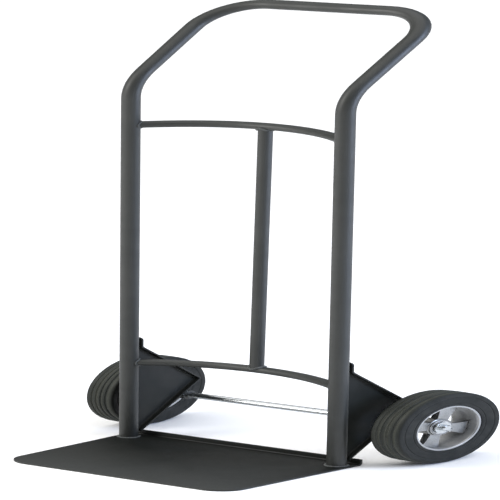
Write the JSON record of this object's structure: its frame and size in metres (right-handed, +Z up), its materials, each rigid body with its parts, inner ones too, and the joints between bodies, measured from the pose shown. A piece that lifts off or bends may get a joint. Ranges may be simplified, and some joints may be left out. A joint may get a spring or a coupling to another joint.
{
  "type": "hand truck",
  "caption": "Upright two-wheeled hand truck with a looped tube handle, bowed cross bars, flat toe plate, solid rubber wheels and an open round axle.",
  "frame": {"origin": "on the floor, in the middle of the footprint: half-way across the truck, and half-way from the toe plate's nose to the back of the wheels", "axes": "+X across the truck to the right as seen from the toe plate, +Y from the toe plate to the wheels, +Z up"},
  "size_m": [0.4978, 0.4628, 1.2696],
  "materials": {
    "frame_paint": "satin charcoal powder coat",
    "plate_paint": "matt charcoal powder coat",
    "zinc": "bright zinc plate",
    "bearing_steel": "ground steel",
    "tyre_rubber": "matt moulded rubber",
    "cast_hub": "satin cast aluminium"
  },
  "bodies": {
    "frame": {"frame_loop": "frame_paint", "upper_cross_bar": "frame_paint", "lower_cross_bar": "frame_paint", "centre_strut": "frame_paint", "toe_plate": "plate_paint", "axle": "zinc", "left_axle_bracket": "frame_paint", "left_axle_sleeve": "frame_paint", "left_axle_spacer": "zinc", "left_inner_washer": "zinc", "left_outer_washer": "zinc", "left_cotter_pin": "zinc", "left_bearing_inner_races": "bearing_steel", "right_axle_bracket": "frame_paint", "right_axle_sleeve": "frame_paint", "right_axle_spacer": "zinc", "right_inner_washer": "zinc", "right_outer_washer": "zinc", "right_cotter_pin": "zinc", "right_bearing_inner_races": "bearing_steel"},
    "left_wheel": {"left_tyre": "tyre_rubber", "left_hub": "cast_hub", "left_bearing_outer_races": "bearing_steel", "left_bearing_balls": "bearing_steel", "left_bearing_shields": "bearing_steel"},
    "right_wheel": {"right_tyre": "tyre_rubber", "right_hub": "cast_hub", "right_bearing_outer_races": "bearing_steel", "right_bearing_balls": "bearing_steel", "right_bearing_shields": "bearing_steel"}
  },
  "joints": [
    {"name": "left_wheel_spin", "type": "hinge", "parent": "frame", "child": "left_wheel", "pos_m": [-0.22667, 0.1298, 0.1016], "axis": [1, 0, 0], "continuous": true},
    {"name": "right_wheel_spin", "type": "hinge", "parent": "frame", "child": "right_wheel", "pos_m": [0.22667, 0.1298, 0.1016], "axis": [1, 0, 0], "continuous": true}
  ]
}
